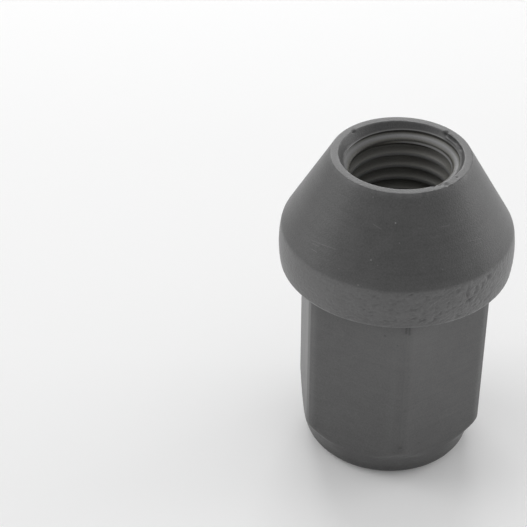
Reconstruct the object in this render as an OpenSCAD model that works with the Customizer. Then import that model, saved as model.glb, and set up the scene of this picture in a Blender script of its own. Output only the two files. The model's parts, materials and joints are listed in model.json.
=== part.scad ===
// Closed-end lug nut: one forged and turned piece of steel, standing on its closed end.
// The nut's axis is Z, the closed end lies on the plane Z = 0 and the mouth opens upwards.

/* [Wrench hex] */
// Width across the flats
hex_af = 19; // [15:0.1:24]
// Radius of the six upright corners
hex_corner_r = 1.8; // [0.4:0.1:3]
// Height of the hex, from the closed end to the underside of the collar
shank_h = 23.2; // [16:0.1:34]

/* [Collar and seat] */
// How far the collar stands out past the corners of the hex
collar_overhang = 1.65; // [0.6:0.05:4]
// Height of the band
band_h = 4.4; // [3:0.1:8]
// How far the band swells at its middle height
band_crown = 0.2; // [0.05:0.01:0.5]
// Radius of the band's lower edge
band_edge_r = 0.4; // [0.1:0.05:1]
// Angle across the conical seat
seat_angle = 60; // [50:1:90]
// Radius of the shoulder between the seat and the band
shoulder_r = 1.6; // [0.4:0.1:2.5]
// Width of the flat rim round the mouth
rim_w = 0.8; // [0.4:0.05:2]

/* [Threaded bore] */
// Nominal diameter of the stud's thread
thread_d = 12; // [9:0.1:14.5]
// Pitch of the thread
thread_pitch = 1.5; // [1:0.25:2]
// Thickness of the closed end under the tip of the drilled bore
end_wall = 6; // [2.5:0.1:9]
// Point angle of the drill that left the blind end
drill_angle = 118; // [90:1:140]
// How far the countersunk mouth stands outside the thread at the rim
mouth_relief = 0.4; // [0.1:0.05:0.8]
// Angle across the countersink
mouth_angle = 60; // [50:1:120]

/* [Closed end] */
// How far the round boss is set in from the corners of the hex
boss_inset = 1.1; // [0.4:0.05:1.9]
// Height of the boss
boss_h = 3.1; // [1.8:0.1:4]
// Draft of the boss's side, from the axis
boss_draft = 13; // [0:1:20]
// Radius of the edge of the end face
end_edge_r = 1.6; // [0.2:0.1:1.9]
// Angle of the chamfer on the hex's corners, from the axis
chamfer_angle = 37; // [25:1:60]
// Radius where the chamfer runs out into the corners
chamfer_edge_r = 1.5; // [0.5:0.1:3]

/* [Hidden] */
$fn = 96;
steel_colour = [0.28, 0.28, 0.285];

// How far a cutting shape reaches past what it cuts
past = 1;
// How far a round stands past the edges that it joins, so that its arc crosses them cleanly
hair = 0.001;

// Hex and closed end: the outline that trims the corners stands just clear of their tips
trim_gap = 0.15;
hex_tip_r = hex_af / 2 / cos(30);
corner_c = (hex_af / 2 - hex_corner_r) / cos(30);
corner_tip = corner_c + hex_corner_r;
trim_r = corner_tip + trim_gap;
boss_r = corner_tip - boss_inset;
end_face_r = boss_r - boss_h * tan(boss_draft);
chamfer_top = boss_h + (trim_r - boss_r) / tan(chamfer_angle);

// Collar and seat
collar_r = corner_tip + collar_overhang;
mouth_r = thread_d / 2 + mouth_relief;
rim_r = mouth_r + rim_w;
band_edge_x = collar_r - band_crown;
band_top = shank_h + band_h;
band_arc_r = (pow(band_h / 2, 2) + pow(band_crown, 2)) / (2 * band_crown);
band_arc_c = [collar_r - band_arc_r, shank_h + band_h / 2];
total_h = band_top + (band_edge_x - rim_r) / tan(seat_angle / 2);

// Bore: the minor diameter of a 60 degree metric thread
minor_r = thread_d / 2 - 5 / 16 * sqrt(3) * thread_pitch;
bore_bottom = end_wall + minor_r / tan(drill_angle / 2);
mouth_slope = tan(mouth_angle / 2);
mouth_bottom = total_h - (mouth_r - minor_r) / mouth_slope;

function unit(v) = v / norm(v);

// Unit normal on the left of a direction
function left(d) = [-d.y, d.x];

// Centre of a round of radius r in the corner p between the straight edges to a and to b
function corner_round_c(a, p, b, r) =
  let (u = unit(a - p), v = unit(b - p))
  p + unit(u + v) * r / sin(acos(u * v) / 2);

// Centre of a round of radius r between the band's arc and the straight edge that leaves the arc
// at p in the direction d, with the body of the nut on the edge's left
function band_round_c(p, d, r) =
  let (q = p + r * left(d) - band_arc_c, along = q * d)
  p + r * left(d) - (along + sqrt(along * along - q * q + pow(band_arc_r - r, 2))) * d;

// What a round of radius r about c takes off: the sector between two directions, less its disc
module rounding(c, r, from, to) {
  reach = 3 * r;
  translate(c)
    difference() {
      polygon([[0, 0], reach * from, reach * to]);
      circle(r + hair);
    }
}

// Rounds off the corner p of an outline that comes from a and goes on to b, anticlockwise
module corner_rounding(a, p, b, r) {
  rounding(corner_round_c(a, p, b, r), r, left(unit(a - p)), -left(unit(b - p)));
}

// Rounds off an end of the band's arc, against the straight edge that leaves it at p along d
module band_rounding(p, d, r) {
  c = band_round_c(p, d, r);
  rounding(c, r, unit(c - band_arc_c), -left(d));
}

// Section of the hex, with round corners
module hex_section() {
  difference() {
    circle(hex_tip_r, $fn = 6);
    for (i = [0:5])
      rotate(60 * i)
        rounding([corner_c, 0], hex_corner_r, [cos(30), -sin(30)], [cos(30), sin(30)]);
  }
}

// Outline of the closed end: flat face, drafted boss and the chamfer that trims the hex's corners
module end_profile() {
  face = [end_face_r, 0];
  boss = [boss_r, boss_h];
  corner = [trim_r, chamfer_top];
  top = [trim_r, band_top];
  difference() {
    polygon([[0, 0], face, boss, corner, top, [0, band_top]]);
    corner_rounding([0, 0], face, boss, end_edge_r);
    corner_rounding(boss, corner, top, chamfer_edge_r);
  }
}

// Half section of the collar and its conical seat
module head_profile() {
  shoulder = [band_edge_x, band_top];
  seat_direction = [-sin(seat_angle / 2), cos(seat_angle / 2)];
  difference() {
    union() {
      polygon([[0, band_top], shoulder, [rim_r, total_h], [0, total_h]]);
      intersection() {
        translate([0, shank_h])
          square([collar_r + past, band_h]);
        translate(band_arc_c)
          circle(band_arc_r);
      }
    }
    band_rounding(shoulder, seat_direction, shoulder_r);
    mirrored_band_rounding();
  }
}

// The band's lower edge is its upper one turned over, against the flat underside
module mirrored_band_rounding() {
  translate([0, 2 * band_arc_c.y])
    mirror([0, 1])
      band_rounding([band_edge_x, band_top], [-1, 0], band_edge_r);
}

// Half section of the countersunk blind bore
module bore_profile() {
  polygon([
    [0, end_wall],
    [minor_r, bore_bottom],
    [minor_r, mouth_bottom],
    [mouth_r + past * mouth_slope, total_h + past],
    [0, total_h + past]
  ]);
}

module lug_nut() {
  color(steel_colour)
    difference() {
      union() {
        intersection() {
          linear_extrude(shank_h + band_h / 2)
            rotate(30)
              hex_section();
          rotate_extrude()
            end_profile();
        }
        rotate_extrude()
          head_profile();
      }
      rotate_extrude()
        bore_profile();
    }
}

lug_nut();
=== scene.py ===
import json

import bpy
import numpy as np
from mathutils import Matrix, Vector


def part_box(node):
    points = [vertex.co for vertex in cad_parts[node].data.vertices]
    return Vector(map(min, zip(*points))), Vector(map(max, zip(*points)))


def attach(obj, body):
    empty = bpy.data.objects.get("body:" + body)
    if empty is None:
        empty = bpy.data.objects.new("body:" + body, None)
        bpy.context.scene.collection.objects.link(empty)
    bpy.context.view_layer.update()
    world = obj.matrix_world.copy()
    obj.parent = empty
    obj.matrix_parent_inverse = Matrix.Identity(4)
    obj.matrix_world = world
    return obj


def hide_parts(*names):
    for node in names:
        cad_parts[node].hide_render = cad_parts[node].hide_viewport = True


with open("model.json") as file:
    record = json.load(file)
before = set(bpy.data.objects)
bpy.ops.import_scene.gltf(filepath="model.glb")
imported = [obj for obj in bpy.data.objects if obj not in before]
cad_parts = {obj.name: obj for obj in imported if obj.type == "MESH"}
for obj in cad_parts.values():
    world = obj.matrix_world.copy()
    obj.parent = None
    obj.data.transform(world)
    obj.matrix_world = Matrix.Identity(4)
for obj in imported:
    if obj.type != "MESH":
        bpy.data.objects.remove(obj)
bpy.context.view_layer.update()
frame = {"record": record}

# Forged blank: the wrench hex and the closed end of the nut, cold forged from steel bar.
# A tapered boss, almost flush with the flats, ends in a flat face, and a chamfer trims the six corners.
# Sizes are in millimetres, with the nut's axis on Z and the closed end on Z = 0.
MM = 0.001
nut_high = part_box("lug_nut")[1]
total_h = nut_high.z / MM

hex_half = 9.5
hex_corner_r = 1.8
shank_h = 23.2
boss_inset = 1.1
boss_h = 3.1
boss_slope = np.tan(np.radians(13))
chamfer_slope = np.tan(np.radians(37))
end_edge_r = 1.6
trim_round = 0.3
boss_foot_round = 0.1
trim_end = 5.4
collar_root_r = 0.5

columns = 552
turn = np.arange(columns) * 2 * np.pi / columns


def hex_radius(angle):
    """Distance from the axis to a hex with round corners, two of its flats square to X.
    A flat is its half width over the cosine of the angle from its middle. Past the end of the flat,
    the ray meets the circle of the corner, whose centre lies on the corner's own line."""
    from_flat = (angle + np.pi / 6) % (np.pi / 3) - np.pi / 6
    from_corner = np.pi / 6 - np.abs(from_flat)
    centre = (hex_half - hex_corner_r) / np.cos(np.pi / 6)
    flat_end = np.arctan2((hex_half - hex_corner_r) * np.tan(np.pi / 6), hex_half)
    on_flat = hex_half / np.cos(from_flat)
    across = np.minimum(centre * np.sin(from_corner), hex_corner_r)
    on_corner = centre * np.cos(from_corner) + np.sqrt(hex_corner_r**2 - across**2)
    return np.where(np.abs(from_flat) < flat_end, on_flat, on_corner)


def point(r, z):
    """A point of the nut's half section in every column: radius and height."""
    return np.stack(np.broadcast_arrays(r, z, turn)[:2], -1).astype(float)


def unit(v):
    """Vectors of length one along the last axis."""
    return v / np.linalg.norm(v, axis=-1, keepdims=True)


def rounded(before, corner, after, radius, rows):
    """Rows of points on the arc that rounds a corner of the half section, in every column.
    The arc touches both edges. Its centre lies on their bisector, at the radius over the sine
    of half their angle, and its points turn evenly from one edge's foot to the other's."""
    to_before, to_after = unit(before - corner), unit(after - corner)
    half = np.arccos((to_before * to_after).sum(-1, keepdims=True)) / 2
    centre = corner + unit(to_before + to_after) * radius / np.sin(half)
    first = corner + to_before * radius / np.tan(half) - centre
    last = corner + to_after * radius / np.tan(half) - centre
    share = np.linspace(0, 1, rows)[:, None, None]
    sweep = np.pi - 2 * half
    return centre + (np.sin((1 - share) * sweep) * first + np.sin(share * sweep) * last) / np.sin(sweep)


def between(start, end, rows):
    """Rows that divide the straight stretch from one point to another evenly, both left out."""
    share = (np.arange(rows) + 1)[:, None, None] / (rows + 1)
    return start + (end - start) * share


def blended(a, b, width):
    """The smaller of two radii. Where they come closer than a width, their meeting edge is rounded off."""
    near = np.clip(1 - np.abs(a - b) / width, 0, None)
    return np.minimum(a, b) - width * near**2 / 4


hex_r = hex_radius(turn)
boss_r = hex_r.max() - boss_inset
axis_foot = point(0, 0)
face_edge = point(boss_r - boss_h * boss_slope, 0)
boss_top = point(boss_r, boss_h)
hex_foot = point(hex_r, trim_end)
hex_top = point(hex_r, shank_h)
collar_side = point(2 * hex_half, shank_h)

end_edge = rounded(axis_foot, face_edge, boss_top, end_edge_r, rows=8)
trim_z = between(end_edge[-1], hex_foot, rows=18)[..., 1]
boss_side = boss_r + (trim_z - boss_h) * boss_slope
chamfer = boss_r + (trim_z - boss_h) * chamfer_slope
trim_r = -blended(-boss_side, -chamfer, boss_foot_round)
trimmed = np.stack([blended(hex_r, trim_r, trim_round), trim_z], -1)
collar_root = rounded(hex_foot, hex_top, collar_side, collar_root_r, rows=5)
blank_rows = [
    between(axis_foot, end_edge[0], rows=3),
    end_edge,
    trimmed,
    hex_foot[None],
    between(hex_foot, collar_root[0], rows=8),
    collar_root,
]

# Turned head: the collar with its swelling band, the 60 degree seat and the flat rim of the mouth.
# It is the same steel as the hex. The seat and rim are cut on a lathe, and the band keeps its forged skin.
# The countersink of the mouth leans a little, so its wall is deeper on the left, and it ends in a thin lip.
collar_r = min(nut_high.x, nut_high.y) / MM
band_h = 4.4
band_crown = 0.2
band_edge_r = 0.4
shoulder_r = 1.6
seat_slope = np.tan(np.radians(30))
mouth_r = 6.4
mouth_slope = np.tan(np.radians(30))
mouth_mean_depth, mouth_lean = 0.7, 0.24
rim_w = 0.8
rim_edge_r = 0.14
mouth_edge_r = 0.1
lip_w = 0.15

band_arc_r = ((band_h / 2) ** 2 + band_crown**2) / (2 * band_crown)
band_middle = shank_h + band_h / 2
band_lean = band_h / 2 / np.sqrt(band_arc_r**2 - (band_h / 2) ** 2)
band_bottom = point(collar_r - band_crown, shank_h)
band_top = point(collar_r - band_crown, shank_h + band_h)
rim_out = point(mouth_r + rim_w, total_h)
rim_in = point(mouth_r, total_h)
mouth_depth = mouth_mean_depth - mouth_lean * np.cos(turn)
mouth_in = point(mouth_r - mouth_depth * mouth_slope, total_h - mouth_depth)
lip = mouth_in - [lip_w, lip_w / 2]


def band_radius(z):
    """Radius of the swelling band at a height: an arc whose middle stands proud by the crown."""
    return collar_r - band_arc_r + np.sqrt(band_arc_r**2 - (z - band_middle) ** 2)


collar_edge = rounded(hex_top, band_bottom, band_bottom + [band_lean, 1], band_edge_r, rows=6)
shoulder = rounded(band_top + [band_lean, -1], band_top, rim_out, shoulder_r, rows=7)
rim_edge = rounded(band_top, rim_out, rim_in, rim_edge_r, rows=5)
mouth_edge = rounded(rim_out, rim_in, mouth_in, mouth_edge_r, rows=4)
band = between(collar_edge[-1], shoulder[0], rows=34)
band[..., 0] = band_radius(band[..., 1])
head_rows = [
    between(collar_root[-1], collar_edge[0], rows=2),
    collar_edge,
    band,
    shoulder,
    between(shoulder[-1], rim_edge[0], rows=18),
    rim_edge,
    between(rim_edge[-1], mouth_edge[0], rows=5),
    mouth_edge,
    between(mouth_edge[-1], mouth_in, rows=6),
    mouth_in[None],
    lip[None],
]

section = np.concatenate(blank_rows + head_rows)
section_r, section_z = section[..., 0], section[..., 1]
outside = np.stack([section_r * np.cos(turn), section_r * np.sin(turn), section_z], -1)

# Skin and knocks: the band keeps the pitted skin of the forging, roughest in front, and the die left
# a fine ridge down each corner of the hex. The rim has chips and a folded burr from the cutter.
skin_grain, skin_depth, skin_level = 0.14, 0.034, -0.6
pit_grain, pit_depth, pit_level = 0.26, 0.07, 1.1
streak = 2.2
roughest_side = np.radians(-84)
rough_power, least_rough = 4, 0.2
band_row_gap = band_h / 40
band_clear = 0.7
skin_start, skin_start_fade = 0.1, 0.4
skin_end, skin_end_fade = 0.25, 0.3
skin_end_waver, skin_end_grain = 0.03, 1.6
ridge_h, ridge_w = 0.05, 0.14
hex_clear = 0.01
flat_start, flat_start_fade = 4.6, 1.2
flat_end_gap, flat_end_fade = 1.0, 1.0
# Angle in degrees and height, then length along the turn, width across it and depth
band_gouges = [
    (-48.2, 27.1, 0.34, 0.28, 0.15),
    (-52.9, 26.8, 0.22, 0.2, 0.09),
    (-56.8, 26.6, 0.2, 0.22, 0.1),
    (-61.9, 26.4, 0.16, 0.42, 0.16),
    (-60.1, 25.4, 0.16, 0.26, 0.11),
    (-66.9, 27.2, 0.3, 0.17, 0.11),
    (-71.5, 26.0, 0.26, 0.14, 0.08),
    (-82.8, 26.7, 0.5, 0.18, 0.07),
    (-78.2, 24.2, 0.2, 0.3, 0.1),
    (-80.6, 23.95, 0.36, 0.14, 0.08),
    (-101.2, 24.2, 0.3, 0.12, 0.06),
    (-109.8, 23.9, 0.34, 0.14, 0.08),
]
# Angle in degrees, way below the rim and radius, then length, width and depth, which is negative on the burr
rim_chips = [
    (-66.5, 0.05, 6.42, 0.22, 0.16, 0.1),
    (-61.5, 0.05, 6.5, 0.3, 0.2, 0.12),
    (-57.0, 0.05, 6.95, 0.26, 0.3, 0.07),
    (-42.5, 0.05, 6.74, 0.11, 0.11, 0.08),
    (133.0, 0.06, 6.4, 0.2, 0.1, 0.3),
    (37.0, 0.08, 6.38, 0.22, 0.22, 0.22),
    (31.0, 0.16, 6.33, 0.5, 0.14, 0.24),
    (29.0, 0.42, 6.16, 0.7, 0.16, -0.16),
    (24.0, 0.2, 6.3, 0.6, 0.14, 0.2),
    (15.0, 0.45, 6.14, 0.9, 0.16, -0.15),
    (10.0, 0.22, 6.28, 0.5, 0.14, 0.16),
    (2.0, 0.6, 6.05, 0.5, 0.14, -0.12),
]
chance = np.random.default_rng(11)


def unevenness(grain, stretch=1.0):
    """Random heights over the grid, with a spread of one and a grain in millimetres.
    The grain is longer along the turn by the stretch. Noise is drawn for every vertex and its short
    waves are damped, so that it closes round the turn."""
    waves = np.fft.rfft2(chance.normal(size=section_r.shape))
    up = np.fft.fftfreq(len(section), band_row_gap)[:, None]
    along = np.fft.rfftfreq(columns, 2 * np.pi * collar_r / columns)
    damping = np.exp(-((np.pi * grain) ** 2) * (up**2 + (stretch * along) ** 2) / 4)
    heights = np.fft.irfft2(waves * damping, section_r.shape)
    return heights / heights.std()


def dent(angle, r, z, along, across, depth):
    """Depth of a bowl in the surface about a point given by its angle in degrees, radius and height.
    It falls off with the arc along the turn and with the way across it in the half section."""
    arc = r * ((turn - np.radians(angle) + np.pi) % (2 * np.pi) - np.pi)
    way = (section_r - r) ** 2 + (section_z - z) ** 2
    return depth * np.exp(-((arc / along) ** 2) - way / across**2)


def facing(side):
    """How far each column faces a side: a cosine of the angle from it, 1 there and 0 opposite."""
    return 0.5 + 0.5 * np.cos(turn - side)


on_band = section_r > hex_r.max() + band_clear
on_band = on_band * np.clip((section_z - shank_h - skin_start) / skin_start_fade, 0, 1)
turned_edge = shank_h + band_h + skin_end + skin_end_waver * unevenness(skin_end_grain, streak)
skin = on_band * np.clip((turned_edge - section_z) / skin_end_fade, 0, 1)
rough_side = np.clip(facing(roughest_side) ** rough_power, least_rough, 1)
pits = np.clip(unevenness(pit_grain, streak) - pit_level, 0, None) * pit_depth * rough_side**2
hollows = np.clip(unevenness(skin_grain, streak) - skin_level, 0, None) * skin_depth * rough_side
gouges = skin * (pits + hollows)
for angle, z, along, across, depth in band_gouges:
    gouges += dent(angle, band_radius(z), z, along, across, depth)
for angle, below_rim, r, along, across, depth in rim_chips:
    gouges += dent(angle, r, total_h - below_rim, along, across, depth)

from_corner = np.abs((turn + np.pi / 2 + np.pi / 6) % (np.pi / 3) - np.pi / 6) * hex_r
on_hex = (section_r < hex_r.max() + hex_clear) * np.clip((section_z - flat_start) / flat_start_fade, 0, 1)
on_hex = on_hex * np.clip((shank_h - flat_end_gap - section_z) / flat_end_fade, 0, 1)
ridge = on_hex * ridge_h * np.exp(-((from_corner / ridge_w) ** 2))

down = np.gradient(outside, axis=0)
round_turn = np.roll(outside, -1, axis=1) - np.roll(outside, 1, axis=1)
outward = unit(np.cross(round_turn, down))
outside = outside + outward * (ridge - gouges)[..., None]
outside[..., 2] = np.clip(outside[..., 2], 0, total_h)

# Drilled and tapped bore: a left-hand M12 x 1.5 thread, cut after the countersink of the mouth.
# The tap's turns fade out above the blind end, which keeps the cone of the drill.
thread_d = 12.0
pitch = 1.5
minor_r = frame["record"]["mounts"][0]["dims"]["r_mm"]
end_wall = 6.0
drill_slope = np.tan(np.radians(118 / 2))
thread_end = 11.0
fade_h = 3.0
lead_in_slope = np.tan(np.radians(60))
split_depth = 0.15
split_above, split_half = 0.16, 0.1
split_from, split_to = 1.93, 1.13
first_crest = 1.83
far_side = np.pi / 2
lip_h, snap = 0.03, 0.03
turns_above, turns_spare = 2, 3

bore_columns = 128
bore_turn = np.arange(bore_columns + 1) * 2 * np.pi / bore_columns
crest_half = pitch / 8
flank_slope = np.tan(np.radians(60))
half_turn_rows = pitch * np.array([0, 0.09, 0.135, 0.22, 0.33, 0.43])
turn_rows = np.concatenate([half_turn_rows, [pitch / 2], pitch - half_turn_rows[:0:-1]])
rows_a_turn = len(turn_rows)


def split_share(crest_depth):
    """How deeply a crest is split by its depth under the rim: half a wave between two depths."""
    into_split = np.clip((crest_depth - split_from) / (split_to - split_from), 0, 1)
    return np.sin(np.pi * into_split)


def thread_radius(off_crest, crest_depth, z):
    """Radius of the tapped bore by its distance along the axis from the nearest crest.
    Crests are flat at the minor radius and flanks rise at 60 degrees to the flat roots at the major
    radius. A shallow groove, as a forming tap leaves it, splits the first full crest along its upper edge.
    Under the countersink's lip, a lead-in as flat as a flank takes the thread's place where it is wider.
    Above the blind end the depth of the thread fades to nothing."""
    under_rim = total_h - z
    flank = np.clip((np.abs(off_crest) - crest_half) * flank_slope, 0, thread_d / 2 - minor_r)
    fade = np.clip((z - thread_end) / fade_h, 0, 1)
    across_split = np.clip(1 - np.abs(off_crest + split_above) / split_half, 0, 1)
    split = split_depth * split_share(crest_depth) * across_split
    lead_in = lip_ring_r - (under_rim - lip_depth) * lead_in_slope
    return np.maximum(minor_r + flank * fade + split, lead_in)


lip_depth = np.interp(bore_turn, turn, total_h - lip[:, 1], period=2 * np.pi) + lip_h
lip_ring_r = np.interp(bore_turn, turn, lip[:, 0], period=2 * np.pi)
turns = int(np.ceil((total_h - thread_end) / pitch)) + turns_spare
row = np.arange(turns * rows_a_turn)
below_crest = turn_rows[row % rows_a_turn]
lead = pitch * (bore_turn - far_side) / (2 * np.pi)
off_crest = np.where(below_crest > pitch / 2, below_crest - pitch, below_crest)[:, None]
depth = (first_crest - turns_above * pitch + (row // rows_a_turn) * pitch + below_crest)[:, None] + lead
crest_depth = depth - off_crest
thread_z = total_h - depth
thread_r = thread_radius(off_crest, crest_depth, thread_z)
above = depth < lip_depth + snap
below = thread_z < thread_end + snap

# Each vertex of the tapped wall has one number: a column's rows past either ring share the ring's vertex,
# and the last column is the first one a turn further up.
ring = np.arange(bore_columns)
wall = ~(above | below)[:, :-1]
number = np.zeros(depth.shape, int)
number[:, :-1] = np.where(above[:, :-1], ring, bore_columns + ring)
number[:, :-1][wall] = 2 * bore_columns + np.arange(wall.sum())
number[:-rows_a_turn, -1] = number[rows_a_turn:, 0]
number[-rows_a_turn:, -1] = bore_columns


def bore_point(r, z, angle):
    """Places in space from radius, height and angle."""
    r, z, angle = np.broadcast_arrays(r, z, angle)
    return np.stack([r * np.cos(angle), r * np.sin(angle), z], -1)


lip_ring = bore_point(lip_ring_r, total_h - lip_depth, bore_turn)[:-1]
thread_ring = bore_point(minor_r, thread_end, bore_turn[:-1])
thread_wall = bore_point(thread_r, thread_z, bore_turn)[:, :-1][wall]
bore_bottom = end_wall + minor_r / drill_slope
plain_z = np.linspace(thread_end, bore_bottom, 4)[1:3]
drill_cone_r = minor_r * np.linspace(1, 0.1, 7)
blind_r = np.concatenate([np.full_like(plain_z, minor_r), drill_cone_r])
blind_z = np.concatenate([plain_z, end_wall + drill_cone_r / drill_slope])
blind = bore_point(blind_r[:, None], blind_z[:, None], bore_turn[:-1])


def strip_faces(numbers):
    """Two triangles for each cell of a grid of vertex numbers, less those that a shared vertex flattens."""
    a, b = numbers[:-1, :-1], numbers[:-1, 1:]
    c, d = numbers[1:, 1:], numbers[1:, :-1]
    halves = [np.stack(half, -1).reshape(-1, 3) for half in ((a, b, c), (a, c, d))]
    faces = np.concatenate(halves)
    distinct = (faces != np.roll(faces, 1, axis=1)).all(axis=1)
    return faces[distinct]


def ring_faces(first, second):
    """Triangles between two rings of vertex numbers with different counts, the first above the second.
    The edges of both rings are taken in the order of the angles of their middles, and each edge
    makes a triangle with the vertex that the other ring has reached."""
    n, m = len(first), len(second)
    middles = np.concatenate([(np.arange(n) + 0.5) / n, (np.arange(m) + 0.5) / m])
    order = np.argsort(middles, kind="stable")
    on_first = order < n
    i = np.concatenate([[0], np.cumsum(on_first)[:-1]])
    j = np.concatenate([[0], np.cumsum(~on_first)[:-1]])
    third = np.where(on_first, first[(i + 1) % n], second[(j + 1) % m])
    return np.stack([second[j % m], first[i % n], third], -1)


def closed_rows(numbers):
    """A grid of vertex numbers whose last column is its first again."""
    return np.concatenate([numbers, numbers[:, :1]], axis=1)


def pole_faces(pole, ring_numbers):
    """Triangles from one vertex to each edge of a ring."""
    following = np.roll(ring_numbers, -1)
    return np.stack([np.full_like(ring_numbers, pole), following, ring_numbers], -1)


outside_rows = len(outside)
outside_numbers = 1 + np.arange(outside_rows * columns).reshape(outside_rows, columns)
bore_start = 1 + outside_rows * columns
bore_numbers = bore_start + number
thread_start = bore_start + 2 * bore_columns
blind_start = thread_start + len(thread_wall)
blind_numbers = blind_start + np.arange(blind.shape[0] * bore_columns).reshape(-1, bore_columns)
blind_grid = np.concatenate([bore_start + bore_columns + ring[None], blind_numbers])
tip = blind_start + blind_numbers.size

vertices = np.concatenate([
    [[0, 0, 0]],
    outside.reshape(-1, 3),
    lip_ring,
    thread_ring,
    thread_wall,
    blind.reshape(-1, 3),
    [[0, 0, end_wall]],
])
faces = np.concatenate([
    pole_faces(0, outside_numbers[0]),
    strip_faces(closed_rows(outside_numbers)),
    ring_faces(outside_numbers[-1], bore_start + ring),
    strip_faces(bore_numbers),
    strip_faces(closed_rows(blind_grid)),
    pole_faces(tip, blind_grid[-1])[:, ::-1],
])

nut_mesh = bpy.data.meshes.new("lug_nut_visual")
nut_mesh.from_pydata((vertices * MM).tolist(), [], faces.tolist())
nut_mesh.polygons.foreach_set("use_smooth", np.ones(len(faces), bool))
nut = bpy.data.objects.new("lug_nut_visual", nut_mesh)
bpy.context.scene.collection.objects.link(nut)
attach(nut, "root")
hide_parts("lug_nut")

# Phosphate coat: a thin matt dark grey layer of fine crystals over the whole nut, thinnest on cut metal.
# It is rubbed lighter on the sharp edges and darker in pits. Painted highlights lighten the hex corners,
# the upper hex, one side of the band, the thread's crests, the first turn's flank and the lip. Painted shade
# darkens the lower hex, the round of the foot and the groove under the lip. The coat carries a few dust
# specks, stains and scratches. Shades run from 0, the darkest grey, to 1, the lightest.
darkest, lightest = 0.02, 0.30
coat_shade = 0.235
mottle, grain_tone, turned_tone = 0.1, 0.2, 0.06
forged_shade, wear_and_light_shade, pit_shade = 0.16, 0.16, -0.1
coat_roughness, roughness_mottle, coat_level = 0.4, 0.12, 0.4
cut_shade, cut_tint = 0.25, (1.0, 0.98, 0.88, 1)
fine_grain, coarse_grain, turned_grain, forged_grain = 0.16, 1.6, 0.3, 0.26
turned_stretch = (0.03, 0.03, 1.0)
grain_bump, skin_bump, turned_bump, coarse_bump = 0.03, 0.07, 0.01, 0.01
flat_calm = -2.0
pit_from, pit_range = 0.03, 0.1
# Angle in degrees and height, then size and what the shade gains
dust = [
    (-99.8, 33.66, 0.1, 0.95),
    (-118.1, 35.54, 0.09, 0.45),
    (-111.5, 30.25, 0.13, 0.5),
    (-127.2, 28.73, 0.09, 0.36),
    (-115.7, 27.9, 0.12, 0.4),
    (-96.7, 31.97, 0.1, 0.36),
    (-107.5, 29.9, 0.08, 0.3),
    (-73.5, 29.4, 0.08, 0.3),
]
stains = [
    (-101.9, 20.5, 0.22, -0.16),
    (-94.4, 19.74, 0.15, -0.16),
    (-89.4, 5.7, 0.34, -0.13),
    (-76.8, 5.4, 0.25, -0.08),
]
# Both ends of each line by angle in degrees and height
scratches = [
    ((-149.3, 29.75), (-140.4, 30.04)),
    ((-140.4, 30.04), (-132.3, 30.2)),
    ((-148.0, 29.55), (-143.2, 29.71)),
    ((-147.0, 29.11), (-142.8, 29.15)),
    ((-69.7, 33.0), (-64.5, 32.95)),
    ((-54.5, 31.0), (-44.5, 30.6)),
    ((-51.0, 30.5), (-46.0, 30.3)),
    ((-114.0, 33.3), (-108.5, 33.0)),
]
corner_marks = [
    ((-90.2, 22.35), (-90.3, 21.5)),
    ((-88.6, 22.4), (-88.4, 21.3)),
]
scratch_w, scratch_shade = 0.07, 0.15
mark_w, mark_shade = 0.2, -0.17

# Wear of the outside: edges in patches. A painted highlight lightens the hex at its corners and upwards, most
# near the front corner, and painted shade darkens the hex low down and the round of the foot.
collar_wear, rim_wear, mouth_wear, lip_wear_and_highlight = 1.3, 0.7, 1.0, 3.4
patch_grain, patch_mean, patch_spread = 0.9, 0.75, 0.4
patch_least, patch_most = 0.45, 1.3
corner_highlight, corner_highlight_w = 0.3, 0.9
flat_highlight, hex_light_middle, hex_light_rise, lower_hex_shade = 0.5, 12.5, 9, -0.4
front, front_w, front_share = 1.5 * np.pi, 5, 0.65
# Round the foot the coat is darkened towards the floor: painted shade in place of the contact shadow.
foot_painted_shade, foot_painted_shade_h = 1.4, 2.2

edge_wear = np.zeros((len(section), 1))
for rows, amount in ((collar_edge, collar_wear), (rim_edge, rim_wear), (mouth_edge, mouth_wear)):
    first = np.flatnonzero((section == rows[0]).all(axis=(1, 2)))[0]
    edge_wear[first : first + len(rows)] = amount
patches = np.clip(patch_mean + patch_spread * unevenness(patch_grain), patch_least, patch_most)
from_front = np.abs(turn - front) * hex_r
near_front = 1 - front_share + front_share * np.exp(-((from_front / front_w) ** 2))
# The hex is lighter round its corners and towards the collar, most near the front corner, and darker low
# down: painted highlight and painted shade.
upper_hex_light = flat_highlight * np.clip((section_z - hex_light_middle) / hex_light_rise, lower_hex_shade, 1) * near_front
hex_painted_light = on_hex * (corner_highlight * np.exp(-((from_corner / corner_highlight_w) ** 2)) + upper_hex_light)
# The sum holds the rubbed edges together with the painted highlight and shade of the hex and the painted
# shade round the foot.
wear_and_painted_light = edge_wear * patches + hex_painted_light - foot_painted_shade * np.clip(1 - section_z / foot_painted_shade_h, 0, 1)
# The lip ring is a bright line, partly rubbed and partly a painted highlight.
wear_and_painted_light[-1] = lip_wear_and_highlight

# Painted light on the thread: the later crests are lighter, partly rubbed and partly a painted highlight,
# and the first turn has a painted highlight on its upper flank and lower ridge and a painted shadow in its
# groove under the lip.
first_turn_end, first_turn_fade = 2.6, 0.3
crest_rub_and_highlight, crest_fall, crest_wear_and_highlight, root_wear_and_light = 2.0, 9, 1.4, 0.2
flank_above, flank_highlight_peak, flank_fall, flank_highlight_most, groove_painted_shadow = 0.47, 4.2, 28, 3.0, -2.3
ridge_highlight, ridge_from, ridge_to = 6.5, -0.01, 0.15

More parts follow.
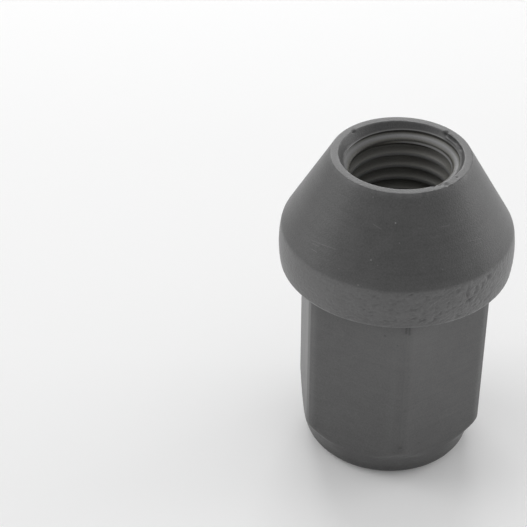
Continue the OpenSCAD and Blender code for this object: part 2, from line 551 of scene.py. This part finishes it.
# Lighter crests, first flank and lower ridge are painted highlights, partly rubbed on the later crests. The
# dark groove of the first turn is a painted shadow.
first_turn = np.clip((first_turn_end - crest_depth) / first_turn_fade, 0, 1)
later_wear_and_highlight = np.clip(crest_rub_and_highlight - crest_fall * np.abs(off_crest), root_wear_and_light, crest_wear_and_highlight)
first_turn_light = np.clip(flank_highlight_peak - flank_fall * np.abs(off_crest + flank_above), groove_painted_shadow, flank_highlight_most)
on_ridge = (off_crest > ridge_from) & (off_crest < ridge_to)
first_turn_light = first_turn_light + ridge_highlight * split_share(crest_depth) * on_ridge
thread_wear_and_light = later_wear_and_highlight + (first_turn_light - later_wear_and_highlight) * first_turn
thread_wear_and_light = thread_wear_and_light[:, :-1][wall]

# Forged skin is paler than the turned seat. A painted highlight makes it paler still on the band's right
# front side. The hex is paler too, less so towards the closed end, where painted shade makes it darker than
# the coat.
band_highlight_side, band_highlight_power, band_highlight_gain = np.radians(-50), 4, 0.5
hex_forged, hex_fade_z, hex_fade_h, end_forged = 0.35, 4, 4, -0.8
hex_reach = 0.1
calm_skin = 0.4

hex_side = (section_r < hex_r.max() + hex_reach) * (section_z < shank_h)
# Towards the closed end the hex's number goes below zero: painted shade in place of the shadow by the floor.
hex_side = hex_side * np.clip((section_z - hex_fade_z) / hex_fade_h, end_forged, 1)
# On the band the skin is made paler on its right front side: a painted highlight.
forged = skin * (1 + band_highlight_gain * facing(band_highlight_side) ** band_highlight_power) + hex_forged * hex_side
rough_skin = skin * (calm_skin + (1 - calm_skin) * rough_side)


def spread(on_outside, on_thread=0.0):
    """One number for each vertex of the nut: those of the outside grid and the tapped wall, 0 elsewhere."""
    numbers = np.zeros(len(vertices))
    numbers[outside_numbers.ravel()] = np.broadcast_to(on_outside, outside.shape[:2]).ravel()
    numbers[thread_start:blind_start] = on_thread
    return numbers.astype(np.float32)


cut = np.zeros(len(vertices), np.float32)
cut[bore_start + bore_columns :] = 1

for name, numbers in (
    ("skin", spread(rough_skin)),
    ("forged", spread(forged)),
    ("wear_and_painted_light", spread(wear_and_painted_light, thread_wear_and_light)),
    ("pit", spread(np.clip((gouges - pit_from) / pit_range, 0, 1))),
    ("cut", cut),
):
    nut_mesh.attributes.new(name, "FLOAT", "POINT").data.foreach_set("value", numbers)

coat = bpy.data.materials.new("phosphate_coat")
coat.use_nodes = True
nodes, links = coat.node_tree.nodes, coat.node_tree.links
shader = nodes["Principled BSDF"]
place = nodes.new("ShaderNodeTexCoord").outputs["Object"]


def feed(socket, source):
    """Gives a socket a number, a vector, or another node's output."""
    if isinstance(source, bpy.types.NodeSocket):
        links.new(source, socket)
    else:
        socket.default_value = source


def maths(operation, a, b=0.0, c=0.0, clamp=False):
    """The output of one arithmetic node."""
    made = nodes.new("ShaderNodeMath")
    made.operation, made.use_clamp = operation, clamp
    for socket, source in zip(made.inputs, (a, b, c)):
        feed(socket, source)
    return made.outputs[0]


def vectors(operation, a, b, output="Vector"):
    """The output of one vector node."""
    made = nodes.new("ShaderNodeVectorMath")
    made.operation = operation
    feed(made.inputs[0], a)
    feed(made.inputs[1], b)
    return made.outputs[output]


def noise(grain, detail, stretch=None):
    """Noise about zero with a grain in millimetres, stretched along the turn if asked."""
    made = nodes.new("ShaderNodeTexNoise")
    made.inputs["Scale"].default_value = 1 / (grain * MM)
    made.inputs["Detail"].default_value = detail
    feed(made.inputs["Vector"], vectors("MULTIPLY", place, stretch) if stretch else place)
    return maths("SUBTRACT", made.outputs["Fac"], 0.5)


def attribute(name):
    """A number stored on the mesh."""
    made = nodes.new("ShaderNodeAttribute")
    made.attribute_name = name
    return made.outputs["Fac"]


def on_seat(angle, z):
    """A point of the conical seat from its angle in degrees and height, in metres."""
    r = mouth_r + rim_w + (total_h - z) * seat_slope
    return tuple(bore_point(r, z, np.radians(angle)) * MM)


def on_flat(angle, z):
    """A point of the hex from its angle in degrees and height, in metres."""
    return tuple(bore_point(float(hex_radius(np.radians(angle))), z, np.radians(angle)) * MM)


def spot(centre, size, amount):
    """A soft round spot that adds to the shade about a point."""
    near = maths("DIVIDE", vectors("DISTANCE", place, centre, "Value"), size * MM)
    return maths("MULTIPLY", maths("SUBTRACT", 1.0, near, clamp=True), amount)


def line(start, end, width, amount):
    """A fine line that adds to the shade by the distance from the nearest point of a segment."""
    way = np.subtract(end, start)
    from_start = vectors("SUBTRACT", place, start)
    along = vectors("DOT_PRODUCT", from_start, tuple(way), "Value")
    share = maths("DIVIDE", along, float(way @ way), clamp=True)
    nearest = nodes.new("ShaderNodeVectorMath")
    nearest.operation = "SCALE"
    nearest.inputs[0].default_value = tuple(way)
    feed(nearest.inputs["Scale"], share)
    near = maths("DIVIDE", vectors("DISTANCE", from_start, nearest.outputs[0], "Value"), width * MM)
    return maths("MULTIPLY", maths("SUBTRACT", 1.0, near, clamp=True), amount)


def mixed(factor, a, b, blend="MIX"):
    """The output of one colour node, from its factor and two colours, by the places of its colour sockets."""
    made = nodes.new("ShaderNodeMix")
    made.data_type, made.blend_type = "RGBA", blend
    for socket, source in ((0, factor), (6, a), (7, b)):
        feed(made.inputs[socket], source)
    return made.outputs[2]


# The wear and forged numbers carry painted highlights and painted shade besides the wear and the skin.
skin_here, wear_and_light_here, forged_here = attribute("skin"), attribute("wear_and_painted_light"), attribute("forged")
pit_here, cut_here = attribute("pit"), attribute("cut")
fine, coarse = noise(fine_grain, detail=2), noise(coarse_grain, detail=5)
turned = noise(turned_grain, detail=2, stretch=turned_stretch)
shade = maths("MULTIPLY_ADD", coarse, mottle, coat_shade)
for source, amount in (
    (fine, grain_tone),
    (turned, turned_tone),
    (forged_here, forged_shade),
    (wear_and_light_here, wear_and_light_shade),
    (pit_here, pit_shade),
):
    shade = maths("MULTIPLY_ADD", source, amount, shade)
for angle, z, size, amount in dust:
    shade = maths("ADD", shade, spot(on_seat(angle, z), size, amount))
for angle, z, size, amount in stains:
    shade = maths("ADD", shade, spot(on_flat(angle, z), size, amount))
for start, end in corner_marks:
    shade = maths("ADD", shade, line(on_flat(*start), on_flat(*end), mark_w, mark_shade))
for start, end in scratches:
    shade = maths("ADD", shade, line(on_seat(*start), on_seat(*end), scratch_w, scratch_shade))
shade = maths("MULTIPLY_ADD", cut_here, cut_shade, shade)

tone = mixed(shade, (darkest, darkest, darkest, 1), (lightest, lightest, lightest, 1))
film = maths("MULTIPLY", cut_here, maths("SUBTRACT", 1.0, wear_and_light_here, clamp=True))
tone = mixed(film, tone, cut_tint, "MULTIPLY")
links.new(tone, shader.inputs["Base Color"])
links.new(maths("MULTIPLY_ADD", coarse, roughness_mottle, coat_roughness), shader.inputs["Roughness"])
shader.inputs["Specular IOR Level"].default_value = coat_level

calm = maths("MULTIPLY_ADD", maths("SUBTRACT", forged_here, skin_here), flat_calm, 1.0, clamp=True)
relief = maths("MULTIPLY", maths("MULTIPLY", fine, calm), grain_bump)
relief = maths("MULTIPLY_ADD", turned, turned_bump, relief)
forged_relief = maths("MULTIPLY", noise(forged_grain, detail=3), skin_here)
relief = maths("MULTIPLY_ADD", forged_relief, skin_bump, relief)
relief = maths("MULTIPLY_ADD", coarse, coarse_bump, relief)
bump = nodes.new("ShaderNodeBump")
bump.inputs["Distance"].default_value = MM
links.new(relief, bump.inputs["Height"])
links.new(bump.outputs["Normal"], shader.inputs["Normal"])
nut_mesh.materials.append(coat)

# Floor: a plain pale table top, two metres wide. To the camera, and in reflections, it glows faintly,
# a little more in front than behind, so that it stays pale round the nut and still keeps its shadow.
floor_half = 1.0
floor_corners = [(-1, -1), (1, -1), (1, 1), (-1, 1)]
floor_colour, floor_roughness = (0.85, 0.85, 0.85, 1), 0.7
glow_colour = (1, 1, 1, 1)
glow_front_y, glow_back_y = -0.05, 0.06
glow_front, glow_back = 0.095, 0.05

floor_mesh = bpy.data.meshes.new("floor")
floor_mesh.from_pydata([(x * floor_half, y * floor_half, 0) for x, y in floor_corners], [], [(0, 1, 2, 3)])
floor = bpy.data.objects.new("floor", floor_mesh)
bpy.context.scene.collection.objects.link(floor)
floor_paint = bpy.data.materials.new("floor_paint")
floor_paint.use_nodes = True
nodes, links = floor_paint.node_tree.nodes, floor_paint.node_tree.links
floor_shader = nodes["Principled BSDF"]
floor_shader.inputs["Base Color"].default_value = floor_colour
floor_shader.inputs["Roughness"].default_value = floor_roughness
floor_shader.inputs["Emission Color"].default_value = glow_colour
floor_place = nodes.new("ShaderNodeSeparateXYZ")
links.new(nodes.new("ShaderNodeTexCoord").outputs["Object"], floor_place.inputs[0])
glow = nodes.new("ShaderNodeMapRange")
glow.inputs["From Min"].default_value = glow_front_y
glow.inputs["From Max"].default_value = glow_back_y
glow.inputs["To Min"].default_value = glow_front
glow.inputs["To Max"].default_value = glow_back
links.new(floor_place.outputs["Y"], glow.inputs["Value"])
ray = nodes.new("ShaderNodeLightPath").outputs
seen = maths("ADD", ray["Is Camera Ray"], ray["Is Glossy Ray"])
seen = maths("ADD", seen, ray["Is Transmission Ray"], clamp=True)
links.new(maths("MULTIPLY", glow.outputs["Result"], seen), floor_shader.inputs["Emission Strength"])
floor_mesh.materials.append(floor_paint)

# Studio light: large soft lamps round the table, the strongest above and behind and on the right, and
# an even white light from all round. Each lamp stands half a metre off and faces the middle of the nut.
lamp_reach = 0.55
world_colour, world_strength = (1, 1, 1, 1), 0.49
# Name, bearing and elevation in degrees, width and height in metres, and watts
lamps = [
    ("behind", 180, 28, 0.36, 0.30, 1.32),
    ("right", 75, 16, 0.36, 0.24, 0.14),
    ("right_low", 105, 16, 0.36, 0.24, 0.79),
    ("right_back", 135, 16, 0.36, 0.24, 0.2),
    ("left_low", 262, 16, 0.36, 0.24, 0.42),
    ("left_high", 258, 40, 0.36, 0.30, 0.6),
]
for name, bearing, elevation, width, height, watts in lamps:
    lamp_data = bpy.data.lights.new(name, "AREA")
    lamp_data.shape = "RECTANGLE"
    lamp_data.size, lamp_data.size_y = width, height
    lamp_data.energy = watts
    lamp = bpy.data.objects.new(name, lamp_data)
    side, rise = np.radians(bearing), np.radians(elevation)
    way = np.array([np.sin(side) * np.cos(rise), -np.cos(side) * np.cos(rise), np.sin(rise)])
    lamp.location = way * lamp_reach + [0, 0, total_h * MM / 2]
    lamp.rotation_euler = (np.pi / 2 - rise, 0, side)
    bpy.context.scene.collection.objects.link(lamp)
world = bpy.data.worlds.new("studio")
world.use_nodes = True
world.node_tree.nodes["Background"].inputs["Color"].default_value = world_colour
world.node_tree.nodes["Background"].inputs["Strength"].default_value = world_strength
bpy.context.scene.world = world
bpy.context.scene.view_settings.view_transform = "Standard"

# Camera: a long lens, looking down on the nut from in front and a little from the left.
# Its place is in millimetres, and it is turned down and to the right by angles in degrees.
camera_place = (-21.185, -137.588, 124.911)
camera_down, camera_right = 36.512, 3.007
lens_mm, sensor_mm = 110.85, 36
nearest_seen = 0.01

camera_data = bpy.data.cameras.new("camera")
camera_data.lens = lens_mm
camera_data.sensor_width = sensor_mm
camera_data.clip_start = nearest_seen
camera = bpy.data.objects.new("camera", camera_data)
camera.location = np.multiply(camera_place, MM)
camera.rotation_euler = np.radians((90 - camera_down, 0, -camera_right))
bpy.context.scene.collection.objects.link(camera)
bpy.context.scene.camera = camera
